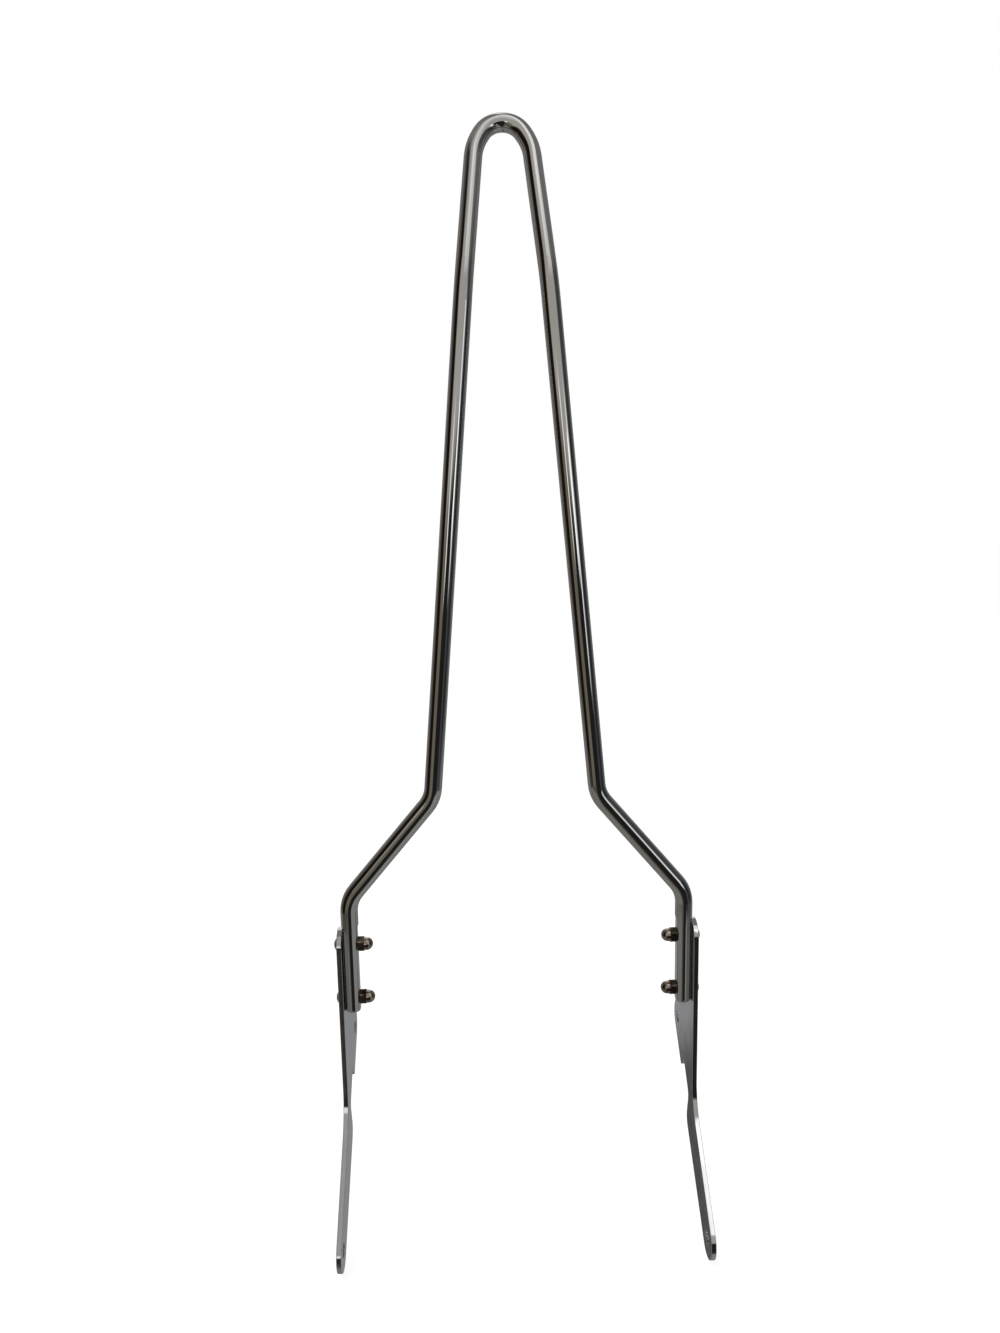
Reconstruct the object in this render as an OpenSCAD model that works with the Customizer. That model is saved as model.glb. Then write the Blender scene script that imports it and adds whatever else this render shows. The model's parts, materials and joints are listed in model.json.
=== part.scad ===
// Sissy bar: one round bar bent into a tall narrow loop, bolted between two flat side plates.
// X runs across the seat, Y runs to the rear and Z runs up. Right means the +X side.
// The origin is on the common axis of the two rear strut holes, midway between the plates.

/* [Bar] */
// Diameter of the round bar
bar_d = 12.7; // [10:0.1:16]
// Distance between the two upright legs, centre to centre
leg_spacing = 244; // [220:1:280]
// Height of an upright leg, from its lower end to the corner of the outer bend
leg_h = 86; // [84:1:120]
// Distance between the two long legs at their foot, centre to centre
foot_spacing = 118; // [90:0.5:150]
// Height of the slanted stretches, from the outer bend's corner to the inner bend's corner
jog_h = 74.5; // [50:0.5:100]
// Height of the long legs, from the inner bend's corner to the kick's corner
long_h = 351.5; // [150:0.5:450]
// Length of the leaning top, from the kick's corner to the loop's side corners
top_len = 101; // [60:0.5:160]
// Rearward lean of the top above the kick, in degrees
kick_angle = 21; // [5:1:35]
// Width of the loop between its side corners, centre to centre
loop_w = 38.5; // [36:0.5:48]
// Lean of the loop's sides above their corners, in degrees from upright
loop_side_lean = 30; // [26:1:34]
// Radius of the loop's top arc, to the bar's centre
loop_r = 16; // [13:0.5:17]
// Radius of the outer and inner bends, to the bar's centre
bend_r = 24; // [16:1:35]
// Radius of the kick, to the bar's centre
kick_r = 70; // [30:1:120]
// Radius of the rounded edge at the bar's lower ends
bar_end_r = 3; // [1:0.5:4.5]

/* [Clamped ends] */
// Depth of the flats on the inner and outer side of each leg
flat_depth = 1; // [0.5:0.1:2]
// Distance that a flat runs above the side plate
flat_margin = 1.5; // [0.5:0.5:4]
// Height of the lower clamp bolt above the leg's end
clamp_low = 10.7; // [9:0.1:14]
// Distance between the two clamp bolts of a leg
clamp_spacing = 41.3; // [36:0.1:50]
// Diameter of the clamp bolt holes in the legs and the side plates
clamp_hole_d = 6.4; // [6.3:0.1:7]

/* [Side plates] */
// Thickness of a side plate
plate_t = 3.5; // [2.5:0.1:5]
// Width of the upright tab that is bolted to the leg
tab_w = 25; // [20:0.5:30]
// Distance from the leg's axis back to the rear strut hole
ear_behind = 42; // [38:0.5:50]
// Distance from the leg's lower end down to the rear strut hole
ear_below = 37; // [32:0.5:45]
// Radius of the ear around the rear strut hole
ear_r = 14; // [11:0.5:17]
// Distance between the rear and the front strut hole
strut_spacing = 152.4; // [140:0.1:165]
// Slope of the line between the strut holes, in degrees below level
strut_slope = 45; // [41:0.5:50]
// Diameter of the strut holes
strut_hole_d = 9.5; // [8:0.1:11]
// Radius of the rounded lower end of the arm
arm_end_r = 14; // [11:0.5:17]

/* [Side plate outline] */
// Radius of the hollow where the front edge turns into the arm
throat_r = 40; // [30:1:50]
// Distance from the rear strut hole down to the centre of that hollow
throat_below = 21; // [16:0.5:26]
// Radius of the hollow under the step, on the rear edge
waist_r = 8; // [6:0.5:10]
// Radius of the arm's knee, on the rear edge
knee_r = 12; // [9:0.5:15]
// Distance from the leg's axis back to the knee's rearmost point
knee_behind = 5; // [3:0.5:7]
// Distance from the rear strut hole down to the knee's centre
knee_below = 59; // [56:0.5:64]
// Distance from the leg's axis back to the waist's foremost point
waist_behind = 1; // [-1:0.5:3]
// Distance from the rear strut hole down to the waist's centre
waist_below = 42; // [39:0.5:45]
// Distance from the rear strut hole forward to the step's inner corner
step_ahead = 24; // [22:0.5:26]
// Distance from the rear strut hole down to the step's inner corner
step_below = 23; // [21:0.5:25]
// Height of the step, from its inner corner to its tip
step_h = 12; // [8:0.5:14]
// Slope of the step, in degrees below level
step_slope = 35; // [25:1:45]
// Radius on the step's inner corner
step_in_r = 1; // [0.5:0.1:2]
// Radius on the step's tip
step_tip_r = 1.5; // [0.5:0.1:2]
// Radius of the hollow between the ear and the tab
shoulder_r = 24; // [18:1:28]
// Distance from the rear strut hole up to the centre of that hollow
shoulder_above = 51; // [48:0.5:58]

/* [Clamp bolts and cap nuts] */
// Diameter of the bolt's shank
shank_d = 6; // [5.5:0.1:6.2]
// Length of the shank under the head
shank_l = 20; // [18.5:0.5:21]
// Diameter of the button head
head_d = 10.5; // [9:0.1:12]
// Height of the button head
head_h = 3.3; // [3:0.1:4]
// Width of the hex socket across its flats
socket_w = 4; // [3:0.5:5]
// Depth of the hex socket
socket_depth = 2.1; // [1.5:0.1:2.4]
// Width of the cap nut's hexagon across its flats
nut_w = 10; // [9:0.1:12]
// Height of the nut's hexagon
nut_hex_h = 4.8; // [4:0.1:6]
// Height of the whole cap nut
nut_h = 11; // [10.5:0.1:13]
// Diameter of the nut's dome
dome_d = 9.2; // [8:0.1:10]
// Radial clearance between the shank and the nut's thread bore
thread_gap = 0.1; // [0.05:0.05:0.2]
// Space left in the nut beyond the end of the shank
nut_end_gap = 1; // [0.5:0.1:1.5]

/* [Hidden] */
$fn = 64;
bar_r = bar_d / 2;
cut = 1;  // how far a cutter reaches past the face that it cuts
bend_slim = 0.02;
bend_lap = 0.3;
// The leg's axis and lower end, seen from the rear strut hole
leg_y = -ear_behind;
leg_end_z = ear_below;
clamp_low_z = leg_end_z + clamp_low;
clamp_high_z = clamp_low_z + clamp_spacing;
// Distances from the middle of the object out to the clamped faces
leg_x = leg_spacing / 2;
nut_seat_x = leg_x - bar_r + flat_depth;
plate_x = leg_x + bar_r - flat_depth;
head_seat_x = plate_x + plate_t;
flat_h = clamp_low + clamp_spacing + tab_w / 2 + flat_margin;
// Heights along the bar's bent plane, from the leg's end, as if the kick were straight
outer_h = leg_h;
inner_h = outer_h + jog_h;
kick_h = inner_h + long_h;
loop_h = kick_h + top_len;
// The long legs lean in from their foot to the loop's side corners
lean = atan2((foot_spacing - loop_w) / 2, loop_h - inner_h);
kick_x = foot_spacing / 2 - long_h * tan(lean);
// The loop's two sides would meet at this height
peak_h = loop_h + loop_w / 2 / tan(loop_side_lean);
// The side bends take up what the top arc leaves of the sides, but for a short straight stretch
side_straight = 2;
side_tangent = loop_w / 2 / sin(loop_side_lean) - loop_r / tan(loop_side_lean) - side_straight;
loop_side_r = side_tangent / tan((loop_side_lean - lean) / 2);
front_hole = strut_spacing * [-cos(strut_slope), -sin(strut_slope)];
// Pins that a plate's outline wraps around: forward-to-rear place, height and radius.
// A pin with a negative radius lies outside the plate and makes a hollow.
tab_pin = [leg_y, clamp_high_z, tab_w / 2];
throat_pin = [leg_y - tab_w / 2 - throat_r, -throat_below, -throat_r];
arm_end_pin = [front_hole.x, front_hole.y, arm_end_r];
knee_pin = [leg_y + knee_behind - knee_r, -knee_below, knee_r];
waist_pin = [leg_y + waist_behind + waist_r, -waist_below, -waist_r];
step_in_pin = [-step_ahead, -step_below, -step_in_r];
step_tip_pin = [step_h * cos(step_slope) - step_ahead, -step_h * sin(step_slope) - step_below, step_tip_r];
ear_pin = [0, 0, ear_r];
shoulder_pin = [leg_y + tab_w / 2 + shoulder_r, shoulder_above, -shoulder_r];
plate_pins = [tab_pin, throat_pin, arm_end_pin, knee_pin, waist_pin,
    step_in_pin, step_tip_pin, ear_pin, shoulder_pin];

function unit(v) = v / norm(v);
function place(pin) = [pin.x, pin.y];

// Direction of the straight edge that runs from one pin to the next, with the plate on its left
function edge_angle(a, b) =
    let (d = place(b) - place(a))
    atan2(d.y, d.x) - asin((b[2] - a[2]) / norm(d));

// Where an edge of that direction touches a pin
function touch(pin, angle) = place(pin) + pin[2] * [sin(angle), -cos(angle)];

function edge_ends(a, b) =
    let (angle = edge_angle(a, b))
    [touch(a, angle), touch(b, angle)];

// Area enclosed by a belt around the pins, with true arcs at the pins
module belt_outline(pins) {
    n = len(pins);
    difference() {
        union() {
            polygon([for (i = [0 : n - 1]) each edge_ends(pins[i], pins[(i + 1) % n])]);
            for (pin = pins)
                if (pin[2] > 0)
                    translate(place(pin))
                        circle(pin[2]);
        }
        for (pin = pins)
            if (pin[2] < 0)
                translate(place(pin))
                    circle(-pin[2]);
    }
}

// A point of the bar's centreline: the bent plane is folded back at the kick
function fold(x, h) =
    let (above = max(h - kick_h, 0))
    [x, leg_y + above * sin(kick_angle), leg_end_z + min(h, kick_h) + above * cos(kick_angle)];

// Corners of the centreline, from the right leg's end over the loop to the left leg's end
corners = [
    fold(leg_x, bar_end_r), fold(leg_x, outer_h), fold(foot_spacing / 2, inner_h),
    fold(kick_x, kick_h), fold(loop_w / 2, loop_h), fold(0, peak_h),
    fold(-loop_w / 2, loop_h), fold(-kick_x, kick_h),
    fold(-foot_spacing / 2, inner_h), fold(-leg_x, outer_h), fold(-leg_x, bar_end_r)
];
corner_r = [0, bend_r, bend_r, kick_r, loop_side_r, loop_r, loop_side_r, kick_r, bend_r, bend_r, 0];

function heading(i) = unit(corners[i + 1] - corners[i]);
function turn(i) = acos(heading(i - 1) * heading(i));
function tangent_len(i) = corner_r[i] == 0 ? 0 : corner_r[i] * tan(turn(i) / 2);

// Straight stretch of bar between corner i and the next one
module straight(i) {
    d = heading(i);
    length = norm(corners[i + 1] - corners[i]) - tangent_len(i) - tangent_len(i + 1);
    translate(corners[i] + d * tangent_len(i))
        rotate([0, acos(d.z), atan2(d.y, d.x)])
            cylinder(h = length, r = bar_r);
}

// Bend of the bar at corner i, as a slice of a torus. It is a hair slimmer than the straight bar
// and laps into it at both ends, so that no two faces coincide.
module bend(i) {
    lap = bend_lap / corner_r[i] * 180 / PI;
    u = heading(i - 1);
    w = unit(cross(u, heading(i)));
    inward = cross(w, u);
    centre = corners[i] - u * tangent_len(i) + inward * corner_r[i];
    multmatrix([
        [-inward.x, u.x, w.x, centre.x],
        [-inward.y, u.y, w.y, centre.y],
        [-inward.z, u.z, w.z, centre.z]
    ])
        rotate([0, 0, -lap])
            rotate_extrude(angle = turn(i) + 2 * lap)
                translate([corner_r[i], 0])
                    circle(bar_r - bend_slim);
}

// Lower end of a leg, with its edge rounded. Like a bend, it is a hair slimmer and laps.
module bar_end() {
    end_r = bar_r - bend_slim;
    translate([leg_x, leg_y, leg_end_z])
        rotate_extrude()
            intersection() {
                square([end_r, bar_end_r + bend_lap]);
                union() {
                    square([end_r - bar_end_r, bar_end_r + bend_lap]);
                    translate([end_r - bar_end_r, bar_end_r])
                        circle(bar_end_r);
                }
            }
}

// Cutter for one flat: it runs up the leg and out through a slope
module flat_cutter() {
    reach = flat_depth + cut;
    rotate([90, 0, 0])
        linear_extrude(bar_d + 2 * cut, center = true)
            polygon([
                [bar_r - flat_depth, -cut],
                [bar_r + cut, -cut],
                [bar_r + cut, flat_h + reach],
                [bar_r - flat_depth, flat_h]
            ]);
}

module leg_cuts() {
    translate([leg_x, leg_y, leg_end_z]) {
        flat_cutter();
        mirror([1, 0, 0])
            flat_cutter();
    }
    for (z = [clamp_low_z, clamp_high_z])
        translate([nut_seat_x - cut, leg_y, z])
            rotate([0, 90, 0])
                cylinder(h = plate_x - nut_seat_x + 2 * cut, d = clamp_hole_d);
}

module bar() {
    $fn = 36;
    last = len(corners) - 1;
    color("silver")
        difference() {
            union() {
                for (i = [0 : last - 1])
                    straight(i);
                for (i = [1 : last - 1])
                    bend(i);
                bar_end();
                mirror([1, 0, 0])
                    bar_end();
            }
            leg_cuts();
            mirror([1, 0, 0])
                leg_cuts();
        }
}

module plate_outline() {
    difference() {
        belt_outline(plate_pins);
        circle(d = strut_hole_d);
        translate(front_hole)
            circle(d = strut_hole_d);
        for (z = [clamp_low_z, clamp_high_z])
            translate([leg_y, z])
                circle(d = clamp_hole_d);
    }
}

module side_plate() {
    color("gainsboro")
        translate([plate_x, 0, 0])
            rotate([90, 0, 90])
                linear_extrude(plate_t)
                    plate_outline();
}

// Button-head bolt on the Z axis, its head above the seat at z = 0
module clamp_bolt() {
    dome_r = (head_h ^ 2 + (head_d / 2) ^ 2) / (2 * head_h);
    color("silver")
        difference() {
            union() {
                intersection() {
                    translate([0, 0, head_h - dome_r])
                        sphere(dome_r);
                    cylinder(h = head_h, d = head_d);
                }
                translate([0, 0, -shank_l])
                    cylinder(h = shank_l + head_h / 2, d = shank_d);
            }
            translate([0, 0, head_h - socket_depth])
                cylinder(h = socket_depth + cut, d = socket_w / cos(30), $fn = 6);
        }
}

// Cap nut on the Z axis, its seat at z = 0 and its dome below
module cap_nut() {
    corner_d = nut_w / cos(30);
    chamfer = (corner_d - nut_w) / 2 * tan(30);
    bore_depth = shank_l - (head_seat_x - nut_seat_x) + nut_end_gap;
    color("rosybrown")
        difference() {
            union() {
                intersection() {
                    translate([0, 0, -nut_hex_h])
                        cylinder(h = nut_hex_h, d = corner_d, $fn = 6);
                    translate([0, 0, -nut_hex_h])
                        cylinder(h = chamfer, d1 = nut_w, d2 = corner_d);
                }
                translate([0, 0, chamfer - nut_hex_h])
                    intersection() {
                        cylinder(h = nut_hex_h - chamfer, d = corner_d, $fn = 6);
                        cylinder(h = nut_hex_h - chamfer, r1 = corner_d, r2 = nut_w / 2);
                    }
                translate([0, 0, dome_d / 2 - nut_h])
                    cylinder(h = nut_h - dome_d / 2 - chamfer, d = dome_d);
                translate([0, 0, dome_d / 2 - nut_h])
                    sphere(d = dome_d);
            }
            translate([0, 0, -bore_depth])
                cylinder(h = bore_depth + cut, r = shank_d / 2 + thread_gap);
        }
}

// Puts a fastener drawn on the Z axis on a clamp bolt's axis, on the right side
module on_clamp_axis(seat_x, z) {
    translate([seat_x, leg_y, z])
        rotate([0, 90, 0])
            children();
}

module side_plate_right() {
    side_plate();
}

module side_plate_left() {
    mirror([1, 0, 0])
        side_plate();
}

module clamp_bolt_right_upper() {
    on_clamp_axis(head_seat_x, clamp_high_z)
        clamp_bolt();
}

module clamp_bolt_right_lower() {
    on_clamp_axis(head_seat_x, clamp_low_z)
        clamp_bolt();
}

module clamp_bolt_left_upper() {
    mirror([1, 0, 0])
        clamp_bolt_right_upper();
}

module clamp_bolt_left_lower() {
    mirror([1, 0, 0])
        clamp_bolt_right_lower();
}

module cap_nut_right_upper() {
    on_clamp_axis(nut_seat_x, clamp_high_z)
        cap_nut();
}

module cap_nut_right_lower() {
    on_clamp_axis(nut_seat_x, clamp_low_z)
        cap_nut();
}

module cap_nut_left_upper() {
    mirror([1, 0, 0])
        cap_nut_right_upper();
}

module cap_nut_left_lower() {
    mirror([1, 0, 0])
        cap_nut_right_lower();
}

bar();
side_plate_right();
side_plate_left();
clamp_bolt_right_upper();
clamp_bolt_right_lower();
clamp_bolt_left_upper();
clamp_bolt_left_lower();
cap_nut_right_upper();
cap_nut_right_lower();
cap_nut_left_upper();
cap_nut_left_lower();
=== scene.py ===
import json
import math

import bmesh
import bpy
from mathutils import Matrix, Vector


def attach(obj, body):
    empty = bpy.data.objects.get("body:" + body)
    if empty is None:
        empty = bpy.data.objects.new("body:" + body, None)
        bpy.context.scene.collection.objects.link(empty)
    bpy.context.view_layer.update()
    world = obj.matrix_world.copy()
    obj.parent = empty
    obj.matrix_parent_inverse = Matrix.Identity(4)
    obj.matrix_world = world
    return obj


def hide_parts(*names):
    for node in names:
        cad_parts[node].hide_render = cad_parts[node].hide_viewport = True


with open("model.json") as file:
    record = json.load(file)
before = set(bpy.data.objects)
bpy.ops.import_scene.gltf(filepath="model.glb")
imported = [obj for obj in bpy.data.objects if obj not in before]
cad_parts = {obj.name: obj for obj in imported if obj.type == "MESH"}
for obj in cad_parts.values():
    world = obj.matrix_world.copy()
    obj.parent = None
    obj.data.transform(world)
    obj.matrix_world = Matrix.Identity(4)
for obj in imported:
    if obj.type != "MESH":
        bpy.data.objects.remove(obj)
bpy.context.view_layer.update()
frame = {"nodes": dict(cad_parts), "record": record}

# Helpers


def link(obj):
    bpy.context.scene.collection.objects.link(obj)
    return obj


def direction(azimuth, elevation):
    """Unit vector; azimuth 0 points from the object to the camera's side and 90 to +X."""
    a, e = math.radians(azimuth), math.radians(elevation)
    return Vector((math.sin(a) * math.cos(e), -math.cos(a) * math.cos(e), math.sin(e)))


def noise(tree, place, scale, detail):
    """Noise with that many spots to the metre, as the socket that gives it."""
    texture = tree.nodes.new("ShaderNodeTexNoise")
    texture.inputs["Scale"].default_value = scale
    texture.inputs["Detail"].default_value = detail
    tree.links.new(place, texture.inputs["Vector"])
    return texture.outputs["Fac"]


def stretched(tree, value, from_low, from_high, to_low=0.0, to_high=1.0):
    """The value with its span from_low to from_high stretched to the span to_low to to_high."""
    remap = tree.nodes.new("ShaderNodeMapRange")
    remap.inputs["From Min"].default_value = from_low
    remap.inputs["From Max"].default_value = from_high
    remap.inputs["To Min"].default_value = to_low
    remap.inputs["To Max"].default_value = to_high
    tree.links.new(value, remap.inputs["Value"])
    return remap.outputs["Result"]


def relief(tree, height, depth, under=None):
    """Normals of a surface with a relief that many metres deep, laid over the normals under it."""
    bump = tree.nodes.new("ShaderNodeBump")
    bump.inputs["Strength"].default_value = 1.0
    bump.inputs["Distance"].default_value = depth
    tree.links.new(height, bump.inputs["Height"])
    if under is not None:
        tree.links.new(under, bump.inputs["Normal"])
    return bump.outputs["Normal"]


def math_node(nodes, operation):
    node = nodes.new("ShaderNodeMath")
    node.operation = operation
    return node


# Metals

# How much fine structure each kind of noise has
TONE_DETAIL = 5.0
HAZE_DETAIL = 8.0
WAVE_DETAIL = 1.5
GRAIN_DETAIL = 4.0
# Noise values between which the tone and the polish change
TONE_SPAN = (0.35, 0.65)
HAZE_SPAN = (0.3, 0.75)
# Haze has this many spots for each patch of tone, and changes the roughness by these shares
HAZE_PER_PATCH = 6
SMOOTHEST, ROUGHEST = 0.7, 1.6
GRAIN_SCALE = 900.0


def polished(name, light, dark, rough, wave_size, wave_depth, grain_depth=0.0, patches=14.0):
    """Plated metal: a faint change of tone, uneven polish and a slight waviness of the surface.

    Sizes and depths are in metres, and patches is how many patches of tone a metre has."""
    mat = bpy.data.materials.new(name)
    mat.use_nodes = True
    tree = mat.node_tree
    bsdf = tree.nodes["Principled BSDF"]
    bsdf.inputs["Metallic"].default_value = 1.0
    place = tree.nodes.new("ShaderNodeTexCoord").outputs["Object"]

    tone = noise(tree, place, patches, TONE_DETAIL)
    mix = tree.nodes.new("ShaderNodeMix")
    mix.data_type = "RGBA"
    mix.inputs["A"].default_value = (*dark, 1.0)
    mix.inputs["B"].default_value = (*light, 1.0)
    tree.links.new(stretched(tree, tone, *TONE_SPAN), mix.inputs["Factor"])
    tree.links.new(mix.outputs["Result"], bsdf.inputs["Base Color"])

    haze = noise(tree, place, patches * HAZE_PER_PATCH, HAZE_DETAIL)
    polish = stretched(tree, haze, *HAZE_SPAN, rough * SMOOTHEST, rough * ROUGHEST)
    tree.links.new(polish, bsdf.inputs["Roughness"])

    normal = relief(tree, noise(tree, place, 1.0 / wave_size, WAVE_DETAIL), wave_depth)
    if grain_depth:
        grain = noise(tree, place, GRAIN_SCALE, GRAIN_DETAIL)
        normal = relief(tree, grain, grain_depth, under=normal)
    tree.links.new(normal, bsdf.inputs["Normal"])
    return mat


METALS = {
    "chrome": {
        "light": (0.62, 0.62, 0.61), "dark": (0.56, 0.555, 0.545), "rough": 0.055,
        "wave_size": 0.03, "wave_depth": 0.00006,
    },
    "plate_chrome": {
        "light": (0.62, 0.625, 0.63), "dark": (0.55, 0.555, 0.56), "rough": 0.09,
        "wave_size": 0.012, "wave_depth": 0.00008, "grain_depth": 0.000002,
    },
    "bolt_chrome": {
        "light": (0.62, 0.62, 0.61), "dark": (0.5, 0.5, 0.49), "rough": 0.08,
        "wave_size": 0.004, "wave_depth": 0.00002,
    },
    "nut_nickel": {
        "light": (0.48, 0.41, 0.35), "dark": (0.3, 0.245, 0.2), "rough": 0.12,
        "wave_size": 0.003, "wave_depth": 0.00002, "grain_depth": 0.000002, "patches": 60.0,
    },
}
SLOTS = {name: polished(name, **look) for name, look in METALS.items()}

for part in frame["record"]["subparts"]:
    piece = frame["nodes"][part["node"]]
    piece.data.materials.clear()
    piece.data.materials.append(SLOTS[part["material_slot"]])

# Side plates with edges rounded over by polishing

EASE_WIDTH = 0.0012
EASE_SEGMENTS = 6
SHARP_ANGLE = math.radians(50)
FLAT_ANGLE = math.radians(0.5)
SAME_PLACE = 1e-6


def eased_plate(node):
    """Puts a copy of the plate, with its sharp edges rounded over, in the plate's place."""
    mesh = frame["nodes"][node].data.copy()
    bm = bmesh.new()
    bm.from_mesh(mesh)
    bmesh.ops.remove_doubles(bm, verts=bm.verts, dist=SAME_PLACE)
    bmesh.ops.dissolve_limit(bm, angle_limit=FLAT_ANGLE, verts=bm.verts, edges=bm.edges)
    for face in bm.faces:
        face.smooth = True
    bm.to_mesh(mesh)
    bm.free()
    piece = link(bpy.data.objects.new(node + "_eased", mesh))
    ease = piece.modifiers.new("ease", "BEVEL")
    ease.width = EASE_WIDTH
    ease.segments = EASE_SEGMENTS
    ease.limit_method = "ANGLE"
    ease.angle_limit = SHARP_ANGLE
    # Large faces set the normals, so that they stay flat up to the rounded edges
    level = piece.modifiers.new("level", "WEIGHTED_NORMAL")
    level.mode = "FACE_AREA"
    level.weight = 100
    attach(piece, "root")
    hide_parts(node)


for side in ("right", "left"):
    eased_plate("side_plate_" + side)

# Floor

FLOOR_Z = -0.126
FLOOR_REACH = 9
FLOOR_GREY = 0.4
FLOOR_GLOW = 0.72


def floor_material():
    """White to the camera, with the object's soft shadow kept at part strength."""
    mat = bpy.data.materials.new("pale_floor")
    mat.use_nodes = True
    nodes, links = mat.node_tree.nodes, mat.node_tree.links
    nodes.clear()
    out = nodes.new("ShaderNodeOutputMaterial")
    add = nodes.new("ShaderNodeAddShader")
    matte = nodes.new("ShaderNodeBsdfDiffuse")
    matte.inputs["Color"].default_value = (FLOOR_GREY, FLOOR_GREY, FLOOR_GREY, 1.0)
    glow = nodes.new("ShaderNodeEmission")
    ray = nodes.new("ShaderNodeLightPath")
    level = math_node(nodes, "MULTIPLY")
    level.inputs[1].default_value = FLOOR_GLOW
    links.new(ray.outputs["Is Camera Ray"], level.inputs[0])
    links.new(level.outputs["Value"], glow.inputs["Strength"])
    links.new(matte.outputs["BSDF"], add.inputs[0])
    links.new(glow.outputs["Emission"], add.inputs[1])
    links.new(add.outputs["Shader"], out.inputs["Surface"])
    return mat


floor_mesh = bpy.data.meshes.new("floor")
floor_signs = [(-1, -1), (1, -1), (1, 1), (-1, 1)]
floor_points = [(FLOOR_REACH * x, FLOOR_REACH * y, FLOOR_Z) for x, y in floor_signs]
floor_mesh.from_pydata(floor_points, [], [(0, 1, 2, 3)])
floor_mesh.materials.append(floor_material())
floor = link(bpy.data.objects.new("floor", floor_mesh))
floor.visible_glossy = False

# Studio around the object, which only the metal sees

REACH = 6.0
MIDDLE = Vector((0.0, -0.05, 0.28))
RIGHT_ARM = Vector((0.13, -0.08, -0.07))
CARD_STEP = 4  # degrees between a card's points, at most


def stops(low, high, fade_low, fade_high):
    """Angles at which a card has its points, each with how opaque the card is there."""
    inner_low, inner_high = low + fade_low, high - fade_high
    count = max(1, math.ceil((inner_high - inner_low) / CARD_STEP))
    inner = [(inner_low + (inner_high - inner_low) * i / count, 1.0) for i in range(count + 1)]
    before = [(low, 0.0)] if fade_low else []
    after = [(high, 0.0)] if fade_high else []
    return before + inner + after


def card_material(name, colour, strength):
    """Light of that colour, let through where the card's edges fade."""
    mat = bpy.data.materials.new(name)
    mat.use_nodes = True
    nodes, links = mat.node_tree.nodes, mat.node_tree.links
    nodes.clear()
    out = nodes.new("ShaderNodeOutputMaterial")
    glow = nodes.new("ShaderNodeEmission")
    glow.inputs["Color"].default_value = (*colour, 1.0)
    glow.inputs["Strength"].default_value = strength
    clear = nodes.new("ShaderNodeBsdfTransparent")
    fade = nodes.new("ShaderNodeAttribute")
    fade.attribute_name = "fade"
    mix = nodes.new("ShaderNodeMixShader")
    links.new(fade.outputs["Fac"], mix.inputs["Fac"])
    links.new(clear.outputs["BSDF"], mix.inputs[1])
    links.new(glow.outputs["Emission"], mix.inputs[2])
    links.new(mix.outputs["Shader"], out.inputs["Surface"])
    return mat


def card(name, az, el, colour, strength=1.0, nearer=0.0, soft=(0, 0, 0, 0), around=MIDDLE):
    """A curved card that spans those azimuths and elevations, seen in reflections only.

    Its left, right, lower and upper edges fade out over the angles in soft."""
    columns = stops(*az, *soft[:2])
    rows = stops(*el, *soft[2:])
    points = [around + (REACH - nearer) * direction(a, e) for e, _ in rows for a, _ in columns]
    wide = len(columns)
    quads = [
        (j * wide + i, j * wide + i + 1, (j + 1) * wide + i + 1, (j + 1) * wide + i)
        for j in range(len(rows) - 1)
        for i in range(wide - 1)
    ]
    mesh = bpy.data.meshes.new(name)
    mesh.from_pydata(points, [], quads)
    opaque = mesh.attributes.new("fade", "FLOAT", "POINT")
    opaque.data.foreach_set("value", [p * q for _, p in rows for _, q in columns])
    mesh.materials.append(card_material(name, colour, strength))
    obj = link(bpy.data.objects.new(name, mesh))
    obj.visible_camera = False
    obj.visible_diffuse = False
    obj.visible_shadow = False
    obj.visible_transmission = False


# Walls, and the foot of the backdrop behind the object
card("wall_left_behind", (-166, -95), (-90, 90), (0.24, 0.235, 0.23))
card("wall_right_behind", (95, 166), (-90, 90), (0.22, 0.22, 0.215))
card("backdrop_foot_right", (166, 180), (-90, -12), (0.28, 0.29, 0.3))
card("backdrop_foot_left", (180, 194), (-90, -12), (0.09, 0.085, 0.08))
card("backdrop_glow_left", (180, 194), (-34, -12), (0.33, 0.33, 0.34), nearer=0.1, soft=(0, 3, 3, 0))
card("wall_left", (-95, -18), (-90, 90), (0.1, 0.085, 0.07))
card("wall_front", (-18, 22), (-90, 90), (0.12, 0.11, 0.1))
card("wall_right", (22, 95), (-90, 90), (0.08, 0.085, 0.09))
# Curtains, a door, a window and the dark floor in front
card("shade_left_behind", (-118, -80), (-22, 60), (0.1, 0.095, 0.09), nearer=0.2, soft=(10, 8, 4, 10))
card("shade_right_behind", (70, 118), (-22, 60), (0.07, 0.072, 0.075), nearer=0.2, soft=(8, 10, 4, 10))
card("curtain_left", (-92, -46), (-24, 80), (0.014, 0.008, 0.004), nearer=0.3, soft=(8, 6, 4, 10))
card("door_left", (-50, -10), (-24, 4), (0.19, 0.17, 0.13), nearer=0.3, soft=(6, 6, 4, 3))
card("floor_front", (-13, 50), (-60, 2), (0.018, 0.017, 0.016), nearer=0.3, soft=(4, 10, 6, 3))
card("window_right", (50, 74), (-22, 30), (0.06, 0.072, 0.082), nearer=0.3, soft=(4, 4, 4, 8))
card("shade_right", (62, 92), (-22, 14), (0.025, 0.026, 0.027), nearer=0.4, soft=(6, 8, 4, 6))
# Ground, close to the object and pale on both sides
card("ground_left", (-130, -20), (-90, -28.5), (0.24, 0.23, 0.21), nearer=4.5, soft=(10, 6, 0, 3))
card("ground_right", (22, 130), (-90, -27.7), (0.3, 0.3, 0.29), nearer=4.5, soft=(6, 10, 0, 2))
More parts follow.
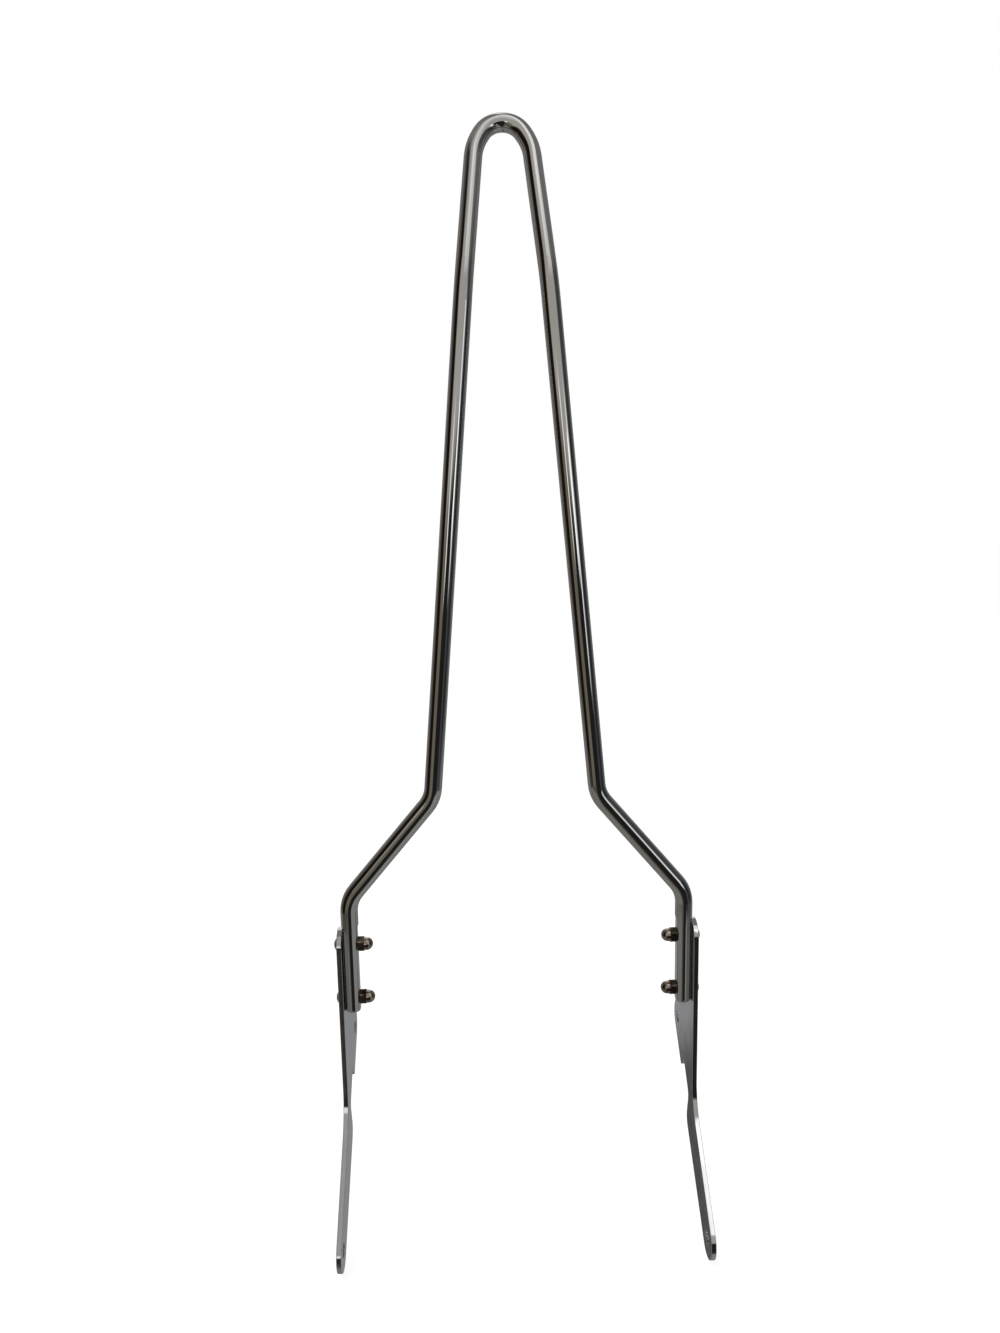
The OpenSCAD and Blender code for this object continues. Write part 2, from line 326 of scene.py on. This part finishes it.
# Light panels
card("ceiling_left", (-150, -42), (54, 90), (0.26, 0.24, 0.23), nearer=0.4, soft=(20, 10, 9, 0))
card("ceiling_right", (65, 150), (32, 90), (0.21, 0.205, 0.2), nearer=0.4, soft=(7, 20, 12, 0))
card("ceiling_front", (-50, 60), (1, 80), (0.5, 0.48, 0.46), nearer=0.5, soft=(10, 12, 4, 10))
card("ceiling_bright", (-12, 68), (34, 84), (0.8, 0.785, 0.77), nearer=0.6, soft=(14, 14, 14, 10))
card("ceiling_top", (0, 58), (54, 86), (1.15, 1.13, 1.12), nearer=0.7, soft=(14, 14, 7, 8))
card("arm_lamp", (15, 30), (40, 68), (1.0, 1.0, 1.0), 1.7, nearer=5.4, soft=(1, 2, 6, 2), around=RIGHT_ARM)
card("lamp_left", (-17, -5), (-5, 9), (1.0, 0.98, 0.96), 1.3, nearer=0.6, soft=(3, 3, 3, 3))
card("lamp_right", (36, 51), (-9, 12), (0.97, 0.99, 1.0), 1.2, nearer=0.6, soft=(3, 3, 3, 3))

# World: white to the camera and in reflections, a little dimmer as light

WHITE = 1.0
AMBIENT = 0.7

world = bpy.data.worlds.new("studio")
bpy.context.scene.world = world
world.use_nodes = True
nodes, links = world.node_tree.nodes, world.node_tree.links
ray = nodes.new("ShaderNodeLightPath")
camera_or_glossy = math_node(nodes, "MAXIMUM")
links.new(ray.outputs["Is Camera Ray"], camera_or_glossy.inputs[0])
links.new(ray.outputs["Is Glossy Ray"], camera_or_glossy.inputs[1])
any_seen = math_node(nodes, "MAXIMUM")
links.new(camera_or_glossy.outputs["Value"], any_seen.inputs[0])
links.new(ray.outputs["Is Transmission Ray"], any_seen.inputs[1])
strength = stretched(world.node_tree, any_seen.outputs["Value"], 0.0, 1.0, AMBIENT, WHITE)
nodes["Background"].inputs["Color"].default_value = (1.0, 1.0, 1.0, 1.0)
links.new(strength, nodes["Background"].inputs["Strength"])

# Key light, above and to the left

KEY_SIZE = 1.6
KEY_POWER = 30.0
KEY_DISTANCE = 2.6
KEY_AZIMUTH, KEY_ELEVATION = -30, 62

key = bpy.data.lights.new("key", "AREA")
key.size = KEY_SIZE
key.energy = KEY_POWER
key_obj = link(bpy.data.objects.new("key", key))
key_obj.location = MIDDLE + KEY_DISTANCE * direction(KEY_AZIMUTH, KEY_ELEVATION)
key_obj.rotation_euler = (MIDDLE - key_obj.location).to_track_quat("-Z", "Y").to_euler()
key_obj.visible_glossy = False

# Camera, at the photograph's place and angle

CAMERA_PLACE = (-0.02525, -0.73086, 0.40783)
CAMERA_DEGREES = (80.436, 1.073, -1.522)

camera = bpy.data.cameras.new("camera")
camera.lens = 27.0
camera.sensor_width = 36.0
camera.sensor_fit = "AUTO"
camera.clip_start = 0.01
camera.clip_end = 100.0
camera_obj = link(bpy.data.objects.new("camera", camera))
camera_obj.location = CAMERA_PLACE
camera_obj.rotation_euler = [math.radians(a) for a in CAMERA_DEGREES]
bpy.context.scene.camera = camera_obj

bpy.context.scene.view_settings.view_transform = "Standard"
